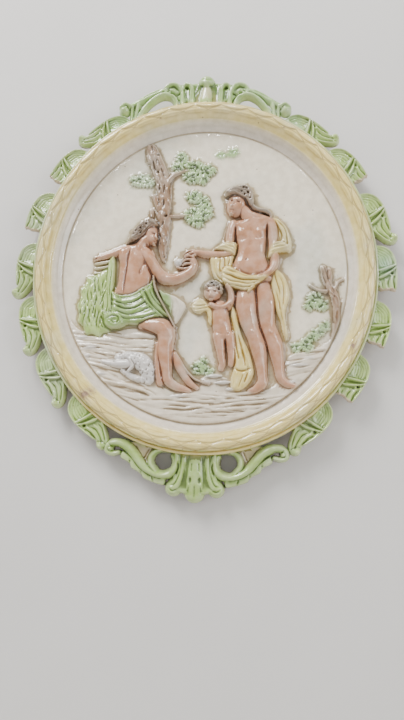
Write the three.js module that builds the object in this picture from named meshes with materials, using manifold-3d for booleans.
// Oval wall plaque of glazed earthenware, cast in one piece: a flat back, a
// sunk field with a pastoral relief, a coved and rolled rim, and a border of
// curling leaves with a crest at the top and a palmette at the bottom.
//
// The plaque is modelled lying face up: x to the right of the picture, y up
// the picture, z out of the field, which lies at z = 0. The finished solid is
// then stood upright with its back in the plane Y = 0 and its face to -Y.
// All sizes are in millimetres.

import * as THREE from 'three';
import { mergeVertices } from 'three/addons/utils/BufferGeometryUtils.js';
import Module from 'manifold-3d';

const wasm = await Module();
wasm.setup();

// ---------------------------------------------------------------------------
// Driving dimensions
// ---------------------------------------------------------------------------

const FIELD_HALF_WIDTH = 120;
const FIELD_HALF_HEIGHT = 127;
const SLAB = 8;
const BACK_RADIUS = 116;
const ROLL_RADIUS = 143.5;
const ROLL_CREST = 14.6;
const COVE_RISE = 8.8;
const RIM_SEGMENTS = 54;

const BORDER_FLOOR = -3;
const LEAF_PITCH = 46.5;
const FIRST_LEAF_ARC = 71;
const LEAF_COUNT = 7;
const BULB_RADIUS = 4.2;

const HOLE_RADIUS = 6.2;
const HOLE_CENTRE = [25.5, -157.5];

// Corners closer together than this become one.
const WELD = 0.05;

// Depth to which a raised form is rooted below its foot.
const ROOT = 2.5;

// Share of the half-width and of the height at each corner of a section, from
// one side over the crown to the other: broad forms and narrow ridges.
const LIMB_CROWN = [[-1, 0], [-0.6, 0.86], [0.6, 0.86], [1, 0]];
const RIDGE_CROWN = [[-1, 0], [0, 1], [1, 0]];

// Same for a border leaf, from its root under the rim to its free edge: three
// flutes run along it.
const LEAF_CROWN = [
  [0, 0.95], [0.2, 1], [0.36, 0.62], [0.55, 1], [0.72, 0.6], [0.87, 0.9], [1, 0.25],
];

// ---------------------------------------------------------------------------
// Closed solids
// ---------------------------------------------------------------------------

function solidFrom(positions, triangles) {
  return new wasm.Manifold(new wasm.Mesh({
    numProp: 3,
    vertProperties: new Float32Array(positions),
    triVerts: new Uint32Array(triangles),
  }));
}

function solidFromGeometry(geometry, tolerance = 1e-4) {
  const bare = geometry.clone();
  bare.deleteAttribute('normal');
  bare.deleteAttribute('uv');
  const merged = mergeVertices(bare, tolerance);
  return solidFrom(merged.getAttribute('position').array, merged.getIndex().array);
}

function geometryOf(solid) {
  const mesh = solid.getMesh();
  const geometry = new THREE.BufferGeometry();
  geometry.setAttribute('position', new THREE.BufferAttribute(mesh.vertProperties, 3));
  geometry.setIndex(new THREE.BufferAttribute(mesh.triVerts, 1));
  return geometry;
}

// Welds corners closer than the tolerance and drops the slivers that fall away.
function weld(solid, tolerance) {
  const bodies = solidFromGeometry(geometryOf(solid), tolerance).decompose();
  return bodies.reduce((main, body) => (body.volume() > main.volume() ? body : main));
}

// Joins equal rings of points into a closed skin with a fan at each end. The
// rings run anticlockwise when seen from the first ring towards the last one's
// far side; reversed = true serves mirrored copies.
function sweep(rings, reversed = false) {
  const count = rings[0].length;
  const positions = rings.flat(2);
  const triangles = [];
  const addTriangle = (a, b, c) => triangles.push(...(reversed ? [a, c, b] : [a, b, c]));
  for (let ring = 0; ring + 1 < rings.length; ring += 1) {
    for (let corner = 0; corner < count; corner += 1) {
      const a = ring * count + corner;
      const b = ring * count + ((corner + 1) % count);
      addTriangle(a, b, b + count);
      addTriangle(a, b + count, a + count);
    }
  }
  const addFan = (ring, outward) => {
    const centre = positions.length / 3;
    const points = rings[ring];
    for (let axis = 0; axis < 3; axis += 1) {
      positions.push(points.reduce((sum, point) => sum + point[axis], 0) / count);
    }
    for (let corner = 0; corner < count; corner += 1) {
      const a = ring * count + corner;
      const b = ring * count + ((corner + 1) % count);
      if (outward) addTriangle(a, b, centre);
      else addTriangle(b, a, centre);
    }
  };
  addFan(0, false);
  addFan(rings.length - 1, true);
  return solidFrom(positions, triangles);
}

function unite(solids) {
  return solids.reduce((whole, solid) => whole.add(solid));
}

// ---------------------------------------------------------------------------
// Raised forms, drawn in plan and given a height
// ---------------------------------------------------------------------------

// Stations [x, y, half-width, height] with a smaller one added beyond each
// end, so that the bar is rounded off in plan and in height.
function withRoundedEnds(stations) {
  const beyond = (end, inner) => {
    const reach = Math.hypot(end[0] - inner[0], end[1] - inner[1]);
    const step = (0.7 * end[2]) / reach;
    return [
      end[0] + (end[0] - inner[0]) * step,
      end[1] + (end[1] - inner[1]) * step,
      end[2] * 0.5,
      end[3] * 0.7,
    ];
  };
  const last = stations.length - 1;
  return [
    beyond(stations[0], stations[1]),
    ...stations,
    beyond(stations[last], stations[last - 1]),
  ];
}

// Unit normal, in plan, of a chain of stations at one of them.
function normalAt(stations, index) {
  const before = stations[Math.max(index - 1, 0)];
  const after = stations[Math.min(index + 1, stations.length - 1)];
  const length = Math.hypot(after[0] - before[0], after[1] - before[1]);
  return [-(after[1] - before[1]) / length, (after[0] - before[0]) / length];
}

// A solid along a chain of stations with the section given, rooted below its
// foot; side = -1 gives its mirror image.
function sweepAlong(chain, section, { foot = 0, side = 1 } = {}) {
  const rings = chain.map(([x, y, halfWidth, height], index) => {
    const [nx, ny] = normalAt(chain, index);
    const place = (share, z) => [side * (x + nx * share * halfWidth), y + ny * share * halfWidth, z];
    const crown = section.map(([share, rise]) => place(share, foot + rise * (height - foot)));
    return [place(-0.8, foot - ROOT), ...crown, place(0.8, foot - ROOT)];
  });
  return sweep(rings, side > 0);
}

// Half of an egg, rooted below its foot.
function orb([x, y], [halfWidth, halfHeight], height, foot = 0) {
  const geometry = new THREE.SphereGeometry(1, 8, 6);
  geometry.rotateX(Math.PI / 2);
  const position = geometry.getAttribute('position');
  for (let index = 0; index < position.count; index += 1) {
    const z = position.getZ(index);
    position.setZ(index, z * (z > 0 ? height - foot : ROOT));
  }
  geometry.scale(halfWidth, halfHeight, 1);
  geometry.translate(x, y, foot);
  return solidFromGeometry(geometry);
}

// ---------------------------------------------------------------------------
// Body: slab, groove, cove and rolled rim, turned and then stretched
// ---------------------------------------------------------------------------

function makeBody() {
  const roll = [
    [139, -2.5], [ROLL_RADIUS, 4.2], [142.2, 10.6], [138, ROLL_CREST], [132.6, 13.8],
    [129.2, 10.2], [127.8, 10.8],
  ];
  const cove = [[126.4, COVE_RISE - 1.5], [124, 2.8], [121, 0.3], [FIELD_HALF_WIDTH, -0.8], [119, 0]];
  const profile = [[0, -SLAB], [BACK_RADIUS, -SLAB], ...roll, ...cove, [0, 0]];
  const points = profile.map(([radius, z]) => new THREE.Vector2(radius, z));
  const geometry = new THREE.LatheGeometry(points, RIM_SEGMENTS);
  geometry.rotateX(Math.PI / 2);
  geometry.scale(1, FIELD_HALF_HEIGHT / FIELD_HALF_WIDTH, 1);
  return solidFromGeometry(geometry);
}

// ---------------------------------------------------------------------------
// Border
// ---------------------------------------------------------------------------

const ROLL_HALF_HEIGHT = (ROLL_RADIUS * FIELD_HALF_HEIGHT) / FIELD_HALF_WIDTH;
const RIM = new THREE.EllipseCurve(
  0, 0, ROLL_RADIUS, ROLL_HALF_HEIGHT, Math.PI / 2, (-3 * Math.PI) / 2, true,
);
const RIM_LENGTH = RIM.getLength();

// Point at a distance along the rim from its top, and a distance out from it.
function besideRim(along, out) {
  const share = along / RIM_LENGTH;
  const point = RIM.getPointAt(share);
  const tangent = RIM.getTangentAt(share);
  return [point.x - tangent.y * out, point.y + tangent.x * out];
}

// A leaf rises from the rim in a lobe, runs along it and hooks out to a bulb.
// Each station: [along, out] of the root edge, [along, out] of the free edge,
// and the height of the crown.
const LEAF_STATIONS = [
  [[3, -3], [-1.5, -1], 4.5],
  [[9, -3.5], [4.5, 8.4], 7.6],
  [[19, -3.5], [17, 14.2], 8.6],
  [[27, -3], [25, 15], 10],
  [[32.5, -0.5], [32, 15.6], 8.2],
  [[37.5, 4.5], [39, 16.8], 7],
  [[42.5, 10.6], [43.5, 19.6], 7.6],
  [[46.5, 11.6], [48, 18.6], 6.8],
  [[48.6, 13.8], [49.4, 16.6], 4.5],
];

// Tips lost from the cast, counted from the top down: how far along the leaf
// the break runs, at its root edge and at its free edge.
const BREAKS = {
  right: { 2: [36, 39], 4: [37, 38], 5: [35, 36], 6: [39, 37] },
  left: { 2: [37, 41], 3: [36, 40] },
};

function leafSkin(start, side) {
  const rings = LEAF_STATIONS.map(([root, free, height]) => {
    const [rootX, rootY] = besideRim(start + root[0], root[1]);
    const [freeX, freeY] = besideRim(start + free[0], free[1]);
    const place = (share, z) => [
      side * (rootX + (freeX - rootX) * share), rootY + (freeY - rootY) * share, z,
    ];
    const crown = LEAF_CROWN.map(([share, rise]) => (
      place(share, BORDER_FLOOR + rise * (height - BORDER_FLOOR))
    ));
    return [place(0, BORDER_FLOOR), ...crown, place(0.96, BORDER_FLOOR)];
  });
  return sweep(rings, side > 0);
}

// Block covering everything beyond a break.
function breakBlock(start, [rootAlong, freeAlong], side) {
  const corners = [[rootAlong, -1], [freeAlong, 24], [freeAlong + 20, 24], [rootAlong + 20, -1]];
  const outline = new THREE.Shape(corners.map(([along, out]) => {
    const [x, y] = besideRim(start + along, out);
    return new THREE.Vector2(side * x, y);
  }));
  const geometry = new THREE.ExtrudeGeometry(outline, { depth: 30, bevelEnabled: false });
  geometry.translate(0, 0, -12);
  return solidFromGeometry(geometry);
}

function makeLeaf(index, side) {
  const start = FIRST_LEAF_ARC + index * LEAF_PITCH;
  const whole = leafSkin(start, side);
  const lost = BREAKS[side > 0 ? 'right' : 'left'][index + 1];
  return lost ? whole.subtract(breakBlock(start, lost, side)) : whole;
}

function bar(stations, foot, side = 1) {
  return sweepAlong(withRoundedEnds(stations), LIMB_CROWN, { foot, side });
}

// Bars of the crest on one side of the centre: a curl beside the knob, a
// hooked curl, the arch over the opening, and the arm.
const CREST_BARS = [
  [[8, 149, 4.5, 12], [9, 158, 4.5, 12], [14, 163, 4.2, 11.5]],
  [[19, 147, 4, 12], [18, 157, 4, 12], [23, 163.5, 4, 12], [30, 162.5, 4.2, 12],
    [34, 157, 3.6, 11]],
  [[23, 146, 3.4, 12], [26.5, 152.5, 3.8, 12.5], [34, 154, 4.4, 12.5], [42, 149.5, 4.4, 12],
    [48, 140, 4.4, 11]],
  [[37, 158, 3.6, 10.5], [48, 152, 4.4, 10], [57, 147.5, 4.2, 9.5], [64.5, 147, 5.2, 8.5]],
];
const CREST_KNOB = [0, 164.5];

function makeCrest(side) {
  return unite(CREST_BARS.map((stations) => bar(stations, 0.5, side)));
}

function makeCrestCentre() {
  return unite([
    orb(CREST_KNOB, [7.8, 7.8], 14, 5),
    bar([[0, 145, 9, 11], [0, 160, 8, 11.5]], 0.5),
  ]);
}

// Bars of the bottom scroll: the scroll itself, its feathered lower edge, and
// the side lobe of the palmette.
const SCROLL_BARS = [
  [[70.5, -149, 4.4, 6.5], [67, -142, 4, 7], [60, -141.5, 4.2, 7.5], [52, -149, 5, 7.5],
    [43, -159, 5.2, 7.5], [31, -167.2, 5, 7.5], [18.5, -166, 4.2, 7.5], [14, -157.5, 3.8, 7.5],
    [17, -148, 3.4, 7.5]],
  [[60, -151, 3.4, 4.5], [44, -166, 4.4, 4.5], [23, -172.5, 4, 4.5]],
  [[8.5, -148, 3.6, 6.5], [8.5, -162, 3.8, 7], [17, -177, 6.4, 6.5]],
];
const WEB = [[34, -146], [58, -139], [55, -150], [40, -160], [32, -158]];

function makeWeb(side) {
  const outline = new THREE.Shape(WEB.map(([x, y]) => new THREE.Vector2(side * x, y)));
  const geometry = new THREE.ExtrudeGeometry(outline, { depth: 4, bevelEnabled: false });
  geometry.translate(0, 0, BORDER_FLOOR);
  return solidFromGeometry(geometry);
}

function makeScroll(side) {
  const bars = SCROLL_BARS.map((stations) => bar(stations, -0.5, side));
  return unite([...bars, makeWeb(side)]);
}

function makePalmetteCentre() {
  return bar([[0, -146, 5.6, 7], [0, -164, 6.4, 7.8], [0, -179, 7.6, 6.6]], -0.5);
}

function makeHole(side) {
  const geometry = new THREE.CylinderGeometry(HOLE_RADIUS, HOLE_RADIUS, 40, 16);
  geometry.rotateX(Math.PI / 2);
  geometry.translate(side * HOLE_CENTRE[0], HOLE_CENTRE[1], 0);
  return solidFromGeometry(geometry);
}

function makeBorder() {
  const parts = [makeCrestCentre(), makePalmetteCentre()];
  for (const side of [-1, 1]) {
    for (let index = 0; index < LEAF_COUNT; index += 1) {
      parts.push(makeLeaf(index, side));
    }
    parts.push(makeCrest(side), makeScroll(side).subtract(makeHole(side)));
  }
  return unite(parts);
}

// ---------------------------------------------------------------------------
// Relief
// ---------------------------------------------------------------------------

class Relief {
  forms = [];

  // A rounded form from station to station: [x, y, half-width, height].
  limb(stations) {
    this.forms.push(sweepAlong(withRoundedEnds(stations), LIMB_CROWN));
  }

  // A narrow ridge of one height, pointed at both ends.
  ridge(points, halfWidth, height) {
    const last = points.length - 1;
    const chain = points.map(([x, y], index) => {
      const share = index === 0 || index === last ? 0.3 : 1;
      return [x, y, halfWidth * share, height * (0.5 + share / 2)];
    });
    this.forms.push(sweepAlong(chain, RIDGE_CROWN));
  }

  egg(centre, halfSizes, height) {
    this.forms.push(orb(centre, halfSizes, height));
  }

  // A tuft of leaves: a low mound with a notched, star-like edge.
  tuft([x, y], [halfWidth, halfHeight], height, blades = 7) {
    const levels = [[1, -ROOT], [1, 0.4 * height], [0.45, height]];
    const rings = levels.map(([spread, z]) => Array.from({ length: 2 * blades }, (_, corner) => {
      const angle = (Math.PI * corner) / blades;
      const reach = spread * (corner % 2 === 0 ? 1 : 0.6);
      return [x + halfWidth * reach * Math.cos(angle), y + halfHeight * reach * Math.sin(angle), z];
    }));
    this.forms.push(sweep(rings));
  }
}

function raiseGround(relief) {
  relief.limb([
    [-93, -60, 10, 1.2], [-72, -86, 14, 1.6], [-36, -103, 14, 1.8], [0, -108, 13, 1.8],
    [40, -104, 13, 1.8], [74, -85, 13, 1.6], [93, -60, 8, 1.2],
  ]);
  const strata = [
    [[-97, -57], [-72, -59], [-45, -61]],
    [[-80, -88], [-62, -91], [-42, -96], [-20, -101]],
    [[-70, -99], [-36, -105], [0, -104], [38, -101], [74, -95]],
    [[-44, -114], [0, -116], [44, -111]],
    [[76, -72], [88, -69], [100, -66]],
  ];
  strata.forEach((stroke) => relief.ridge(stroke, 2.4, 2.8));
}

function raiseMainTree(relief) {
  relief.limb([
    [-35, 10, 2.2, 3], [-34, 28, 4.6, 3.4], [-35, 52, 6.2, 3.6], [-35, 72, 6, 3.6],
    [-42, 93, 6, 3.2], [-49, 108, 4.8, 2.6],
  ]);
  const branches = [
    [[-33, 79, 2.6, 3], [-28.5, 85, 2, 2.8], [-18, 89, 1.4, 2.2]],
    [[-30, 50, 1.8, 2.6], [-14, 51.5, 1.4, 2.2]],
    [[-45.5, 46, 2.2, 2.8], [-46, 53, 2.2, 2.8]],
  ];
  branches.forEach((branch) => relief.limb(branch));
  relief.ridge([[-32, 34], [-31.5, 54], [-33, 74]], 1.2, 4.6);
  relief.ridge([[-38, 50], [-38.5, 72], [-45, 95]], 1.2, 4.6);
  relief.tuft([-56, 81], [10, 7], 2.4);
  relief.tuft([-21, 96], [6.5, 8.5], 2.4);
  relief.tuft([-6, 92], [12, 10], 2.8, 9);
  relief.tuft([-11, 82], [10, 5], 2.6);
  relief.tuft([-7, 63], [9, 8], 2.8);
  relief.tuft([-6, 50], [11.5, 8], 2.8);
}

function raiseStumpTree(relief) {
  relief.limb([
    [107, -56, 1.8, 1.8], [110.5, -30, 3.4, 3], [108, -16, 4.6, 3.2], [103.5, -8, 4.4, 3.2],
    [101, 5, 2.8, 2.6],
  ]);
  relief.limb([[103, -14, 1.8, 2.8], [94, -13, 1.6, 2.4], [86, -9, 1.4, 2]]);
  relief.limb([[108, -9, 1.8, 2.8], [114, -1, 1.4, 2]]);
  relief.tuft([94, -22], [9, 8], 2.6);
  relief.tuft([100, -43], [5, 3.5], 1.8);
  relief.tuft([84, -61], [8, 6.5], 2.4);
  relief.tuft([1, -80], [9, 5.5], 2.4);
}

function raiseSheep(relief) {
  relief.limb([[-66, -75, 6, 3.6], [-54, -75, 8.5, 4.8], [-43, -79, 9, 4.8], [-40, -88, 6, 3.6]]);
  relief.limb([[-57, -78, 5.4, 5.8], [-68, -78, 4.6, 5], [-77, -77, 3, 3.4]]);
  relief.limb([[-62, -85, 2.4, 3.4], [-54, -90, 2.6, 3.4]]);
}

// The shepherd, seated on the rocks with a bare back and a cloak about the
// hips, holds a ball out to the right; a crook leans against the knee.
function raiseShepherd(relief) {
  relief.limb([[-80, 4, 5, 3.2], [-86, -12, 9, 3.6], [-90, -32, 12, 3.4], [-91, -50, 9, 2.6]]);
  const cloakFolds = [
    [[-77, 5], [-80, -16], [-78, -44]],
    [[-86, -4], [-93, -20], [-94, -48]],
  ];
  cloakFolds.forEach((fold) => relief.ridge(fold, 2, 4.8));
  relief.limb([[-58, 20, 12, 5.2], [-59.5, 8, 13.6, 6.2], [-58.5, -6, 14.5, 6.4], [-58, -14, 15.5, 6.2]]);
  relief.limb([[-52, 21, 5, 5.8], [-48, 29, 5, 6.6]]);
  relief.egg([-45.5, 32], [8, 9.5], 7.6);
  relief.egg([-51, 38], [10.5, 9], 8.2);
  relief.limb([[-58, 33, 3.6, 5.8], [-63, 28, 2, 4.4]]);
  relief.limb([[-71, 20, 5, 5], [-80, 16.5, 4, 4.4], [-90, 12.5, 3, 3.6]]);
  relief.limb([[-66, -28, 10, 6.4], [-52, -29, 11.5, 7], [-36, -26, 9, 6.2]]);
  const hipFolds = [
    [[-72, -21], [-60, -25], [-42, -18]],
    [[-69, -30], [-54, -33], [-34, -28]],
  ];
  hipFolds.forEach((fold) => relief.ridge(fold, 1.7, 8.2));
  relief.limb([[-70, -41, 6, 5.6], [-54, -43, 4.8, 5.6]]);
  relief.limb([[-30, -21, 5, 3.4], [-23, -29, 7, 3.8], [-21, -40, 3.4, 3.4]]);
  relief.limb([[-19, -74, 2.4, 3.6], [-15, -82, 3.8, 4.2], [-6, -94, 2.6, 3.4]]);
  relief.limb([[-34, -72, 3, 4.4], [-32, -90, 2.8, 4]]);
  relief.limb([
    [-44, -46, 4.4, 6], [-37, -45, 7, 7.2], [-30, -46, 7.8, 7.8], [-27.5, -53, 6.8, 7.4],
    [-28, -70, 6.2, 6.4], [-25.5, -89, 4.2, 5.2], [-19, -95, 3.6, 4.4], [-10, -98, 2.6, 3.4],
  ]);
  relief.limb([
    [-48, 17, 5.4, 6.8], [-34, -4, 5, 6.4], [-22, -2.5, 4.4, 6], [-12, 3, 3.6, 5.4],
    [-8, 11, 4.2, 5.4],
  ]);
  relief.egg([-18, 9.5], [4, 4], 5.6);
  relief.ridge([[-42, 2], [-37, -14], [-32, -28], [-21, -46]], 1.4, 9);
  relief.ridge([[-19, -70], [-12, -80], [-4, -87.5], [7, -91.5]], 1.4, 3.4);
}

// The goddess, standing with her weight on one leg, reaches towards the ball
// and gathers a long scarf at her hip.
function raiseGoddess(relief) {
  relief.limb([[59, 48, 3, 3.6], [65, 41, 5.6, 4.2], [68, 30, 5.6, 4.4], [66, 21, 5.6, 4.6]]);
  relief.limb([[14, 9, 8, 3.8], [14, -2, 6, 3.6]]);
  relief.limb([[64, -6, 6, 4.4], [66, -20, 5, 4.2], [66, -44, 3, 3]]);
  relief.limb([[27, -34, 3, 3.4], [33, -60, 5, 3.6], [34, -88, 6.6, 3.2]]);
  const folds = [
    [[63, 48], [69, 38], [69, 22]],
    [[13, 13], [13, -4]],
    [[66, -8], [66, -38]],
    [[34, -60], [35, -90]],
  ];
  folds.forEach((fold) => relief.ridge(fold, 1.7, 5.2));
  relief.limb([[39.5, 41, 13, 5.8], [39, 28, 12.6, 6.2], [38.5, 16, 13, 6.2], [39, 5, 14, 6.4]]);
  relief.egg([31.5, 32.5], [5.8, 5.8], 7.2);
  relief.egg([46.5, 33.5], [5.8, 5.8], 7.2);
  relief.limb([[40, 47, 5.6, 5.6], [34, 54, 5, 6.4]]);
  relief.egg([26.5, 59], [8.6, 10.6], 7.8);
  relief.egg([30, 67.5], [11, 8.6], 8.4);
  relief.limb([[38, 64, 4.6, 6.8], [43, 57, 3.6, 5.8], [51, 53.5, 2.8, 5.2]]);
  relief.limb([
    [50, -13, 6.4, 5.8], [53.5, -32, 6.6, 6.4], [56, -46, 5.8, 5.8], [62.5, -66, 5.4, 5.4],
    [66, -86, 3.8, 4.8], [75, -91.5, 2.6, 3.2],
  ]);
  relief.limb([
    [36, -22, 7.6, 6.2], [38.5, -40, 8, 7.2], [47, -65, 6.4, 6.8], [50.5, -85, 4.2, 5.8],
    [46, -95, 3.2, 4.2],
  ]);
  relief.limb([[22, -2, 5.6, 6.6], [34, -3, 7.4, 7.4], [47, -5, 5.6, 7]]);
  relief.limb([[38, -9, 6, 6.4], [34, -15, 4, 6]]);
  relief.ridge([[22, -5], [34, -7], [50, -5]], 1.7, 8.8);
  relief.limb([[23.5, 42, 4, 6.2], [19.5, 24, 4.6, 6.4]]);
  relief.limb([[19, 18, 3.8, 6], [8, 17, 3.6, 5.4], [-4, 18.5, 3.2, 5], [-11, 15.5, 2.8, 4.8]]);
  relief.limb([[11, 23, 3.2, 5], [18, 24.5, 4.4, 7], [25.5, 22, 3, 6]]);
  relief.limb([
    [55.5, 42, 4.6, 6.2], [60.5, 21, 4.8, 6.6], [59.5, 10, 4, 6.8], [54.5, 2, 3.8, 7.2],
    [46, -2, 3.6, 7.8],
  ]);
  relief.limb([[56, 24, 3.2, 7], [62, 25, 4.2, 7.6], [69, 27, 3, 6]]);
}

// The small winged child at her side, reaching up to the scarf.
function raiseChild(relief) {
  relief.egg([-2, -29], [5.4, 6.4], 3);
  relief.limb([[3, -34, 2.6, 3], [6, -41, 2.6, 3]]);
  relief.limb([[16, -31, 6.4, 5.4], [16.5, -41, 7, 6.2], [18, -50, 7.6, 6.2]]);
  relief.limb([[14.5, -55, 5, 6], [17.5, -68, 3.8, 5], [18.5, -77, 3.2, 4.2]]);
  relief.limb([[24, -54, 4.6, 5.6], [26, -70, 3.6, 4.6], [26, -77, 2.8, 4]]);
  relief.limb([[9, -28, 3, 5.8], [16, -29.5, 3.2, 6.4], [23, -27, 3, 6.4]]);
  relief.limb([[21, -28, 3.2, 6.2], [23, -20, 3, 6.4], [21, -12, 2.8, 7]]);
  relief.egg([8.5, -17], [8, 8], 7.8);
}

// Everything of the relief lies inside the cove.
function makeRelief() {
  const relief = new Relief();
  raiseGround(relief);
  raiseMainTree(relief);
  raiseStumpTree(relief);
  raiseSheep(relief);
  raiseShepherd(relief);
  raiseGoddess(relief);
  raiseChild(relief);
  const outline = new THREE.CylinderGeometry(122, 122, 60, RIM_SEGMENTS);
  outline.rotateX(Math.PI / 2);
  outline.scale(1, FIELD_HALF_HEIGHT / FIELD_HALF_WIDTH, 1);
  return unite(relief.forms).intersect(solidFromGeometry(outline));
}

// ---------------------------------------------------------------------------
// The finished plaque
// ---------------------------------------------------------------------------

function makePlaque() {
  const solid = weld(unite([makeBody(), makeBorder(), makeRelief()]), WELD);
  const geometry = geometryOf(solid);
  geometry.translate(0, 0, SLAB);
  geometry.rotateX(Math.PI / 2);
  geometry.computeVertexNormals();
  const glaze = new THREE.MeshStandardMaterial({ color: 0xd6cdb4, roughness: 0.25, metalness: 0 });
  const mesh = new THREE.Mesh(geometry, glaze);
  mesh.name = 'plaque';
  return mesh;
}

const object = new THREE.Group();
object.add(makePlaque());

export default object;
